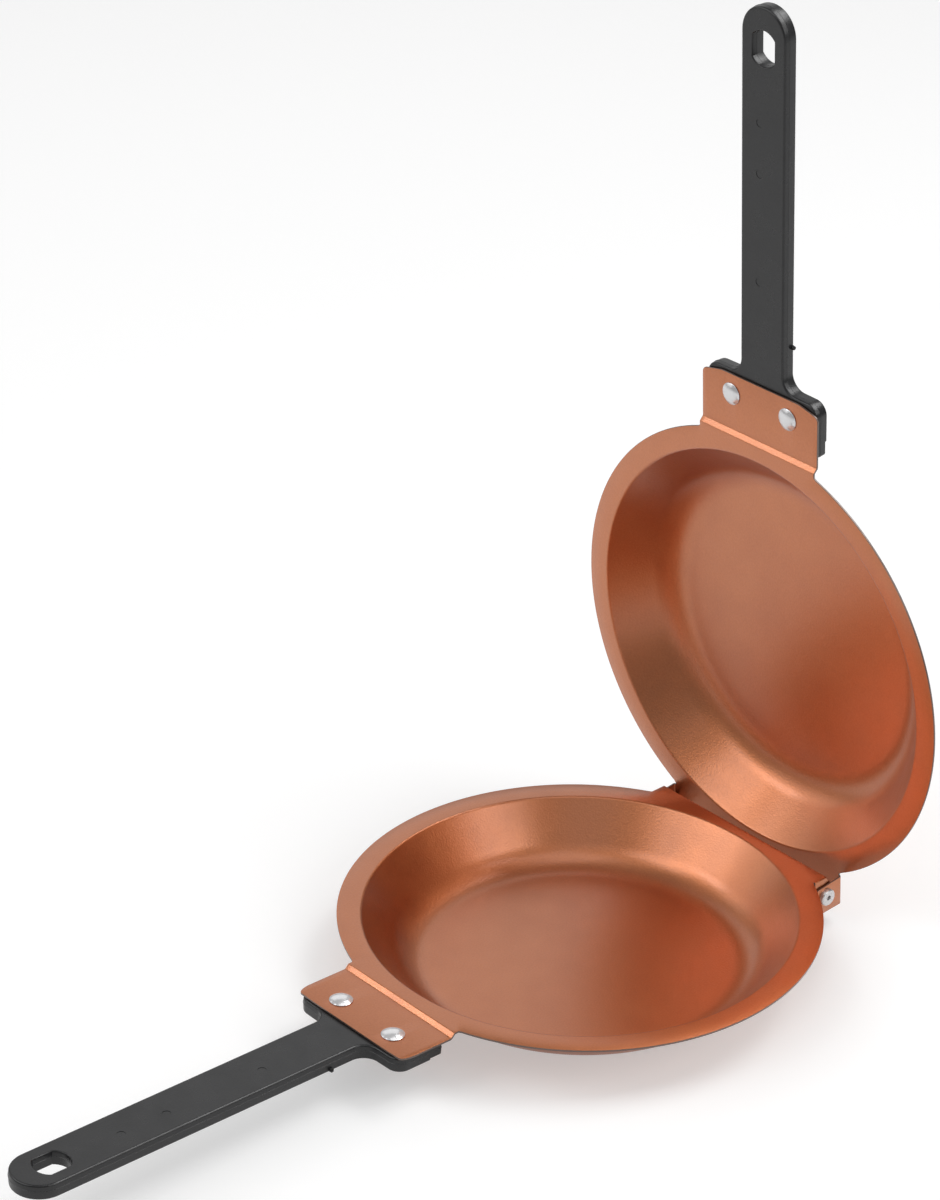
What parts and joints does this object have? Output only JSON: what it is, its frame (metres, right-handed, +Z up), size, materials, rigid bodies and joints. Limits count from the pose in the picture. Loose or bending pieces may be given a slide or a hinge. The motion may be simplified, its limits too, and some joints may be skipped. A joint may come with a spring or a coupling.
{
  "type": "flip pan",
  "caption": "Shallow round frying pans hinged rim to rim, each with a flat black handle, shown open; they close over the food so that it can be turned without a spatula.",
  "frame": {"origin": "centre of the lower pan's base, on the surface that it stands on", "axes": "+Z up, -Y along the lower handle, +Y towards the hinge, +X along the hinge axis"},
  "size_m": [0.2, 0.4106, 0.3953],
  "materials": {
    "copper_coating": "satin copper-coloured non-stick coating with a fine metallic flake, on both sides of the sheet",
    "black_phenolic": "matt moulded phenolic with a faint sheen",
    "rivet_aluminium": "bright, lightly brushed",
    "plated_steel": "bright plated"
  },
  "bodies": {
    "lower_half": {"lower_pan": "copper_coating", "lower_handle": "black_phenolic", "lower_handle_rivet_left": "rivet_aluminium", "lower_handle_rivet_right": "rivet_aluminium", "lower_rivet_washer_left": "plated_steel", "lower_rivet_washer_right": "plated_steel", "hinge_rivet_left": "plated_steel", "hinge_rivet_right": "plated_steel"},
    "upper_half": {"upper_pan": "copper_coating", "upper_handle": "black_phenolic", "upper_handle_rivet_left": "rivet_aluminium", "upper_handle_rivet_right": "rivet_aluminium", "upper_rivet_washer_left": "plated_steel", "upper_rivet_washer_right": "plated_steel"}
  },
  "joints": [
    {"name": "pan_hinge", "type": "hinge", "parent": "lower_half", "child": "upper_half", "pos_m": [0, 0.094, 0.0156], "axis": [1, 0, 0], "range_deg": [0, 86.7]}
  ]
}
